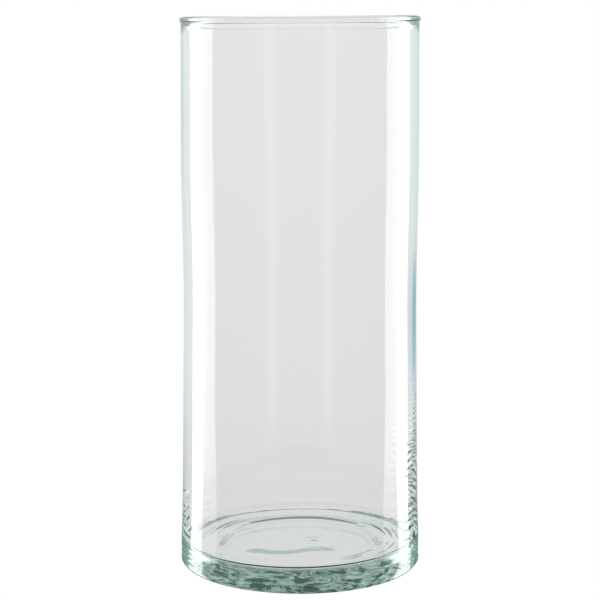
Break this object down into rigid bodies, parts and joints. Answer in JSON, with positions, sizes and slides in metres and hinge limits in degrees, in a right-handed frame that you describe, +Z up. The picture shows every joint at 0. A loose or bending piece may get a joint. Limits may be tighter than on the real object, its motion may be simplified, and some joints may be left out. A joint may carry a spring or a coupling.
{
  "type": "glass cylinder vase",
  "caption": "Tall open cylinder vase in clear, faintly green glass, with a thick flat floor, a slight waist and a fire-polished round rim; stands on a flat ring.",
  "frame": {"origin": "centre of the standing ring, on the surface that the vase stands on", "axes": "+Z up the vase's axis, from the foot towards the mouth; the vase is turned round +Z, so +X and +Y are free"},
  "size_m": [0.1322, 0.1322, 0.3],
  "materials": {
    "glass": "gloss"
  },
  "bodies": {
    "root": {"vase_body": "glass"}
  },
  "joints": []
}
